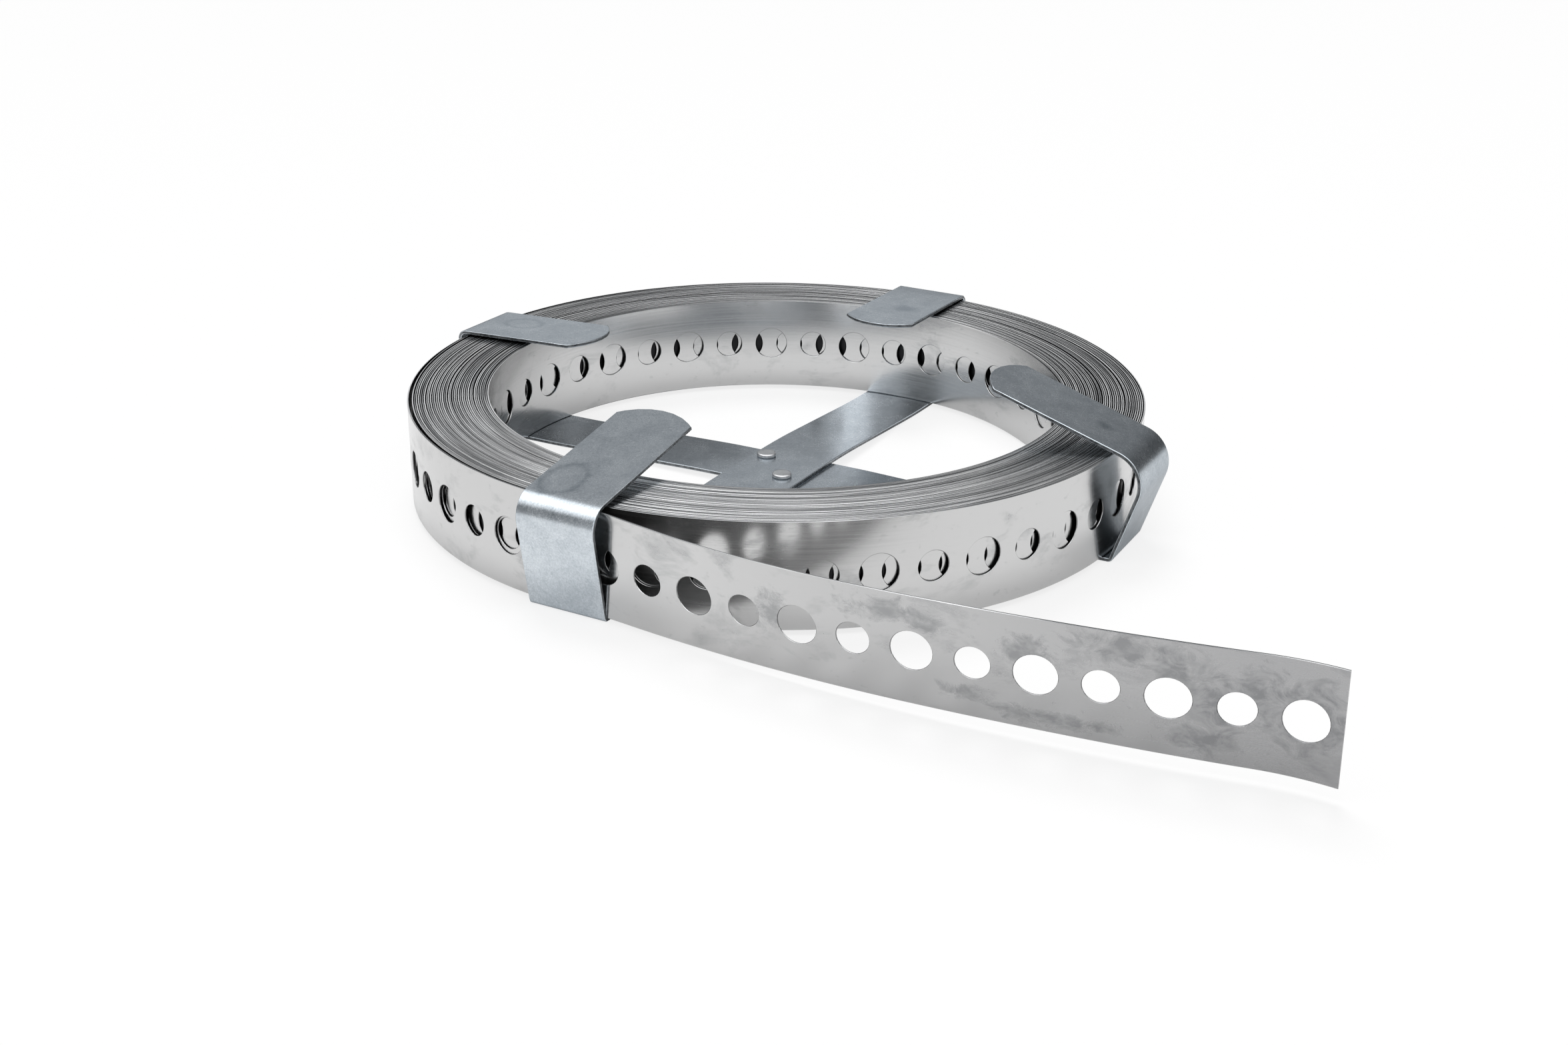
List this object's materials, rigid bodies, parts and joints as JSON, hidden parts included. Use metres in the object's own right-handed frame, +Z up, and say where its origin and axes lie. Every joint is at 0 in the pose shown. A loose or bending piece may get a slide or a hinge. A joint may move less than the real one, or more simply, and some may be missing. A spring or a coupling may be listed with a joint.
{
  "type": "perforated steel strap",
  "caption": "Coil of flat steel strap with a row of round holes, large and small in turn, its free end led out, held by a riveted cross of two bars bent over the coil.",
  "frame": {"origin": "on the floor, under the middle of the coil, where the coil's axis meets the plane of the cross bars' feet", "axes": "+Z up along the coil's axis, +X towards the side where the strap's free end leads off, -Y towards the free end's outer face"},
  "size_m": [0.1943, 0.2519, 0.0399],
  "materials": {
    "strap": "bright rolled stainless steel strip, lightly smudged",
    "cross_bars": "zinc-plated steel strip with a fine dull spangle",
    "rivets": "zinc-plated steel"
  },
  "bodies": {
    "root": {"perforated_strap": "strap", "upper_cross_bar": "cross_bars", "lower_cross_bar": "cross_bars", "cross_rivet_1": "rivets", "cross_rivet_2": "rivets"}
  },
  "joints": []
}
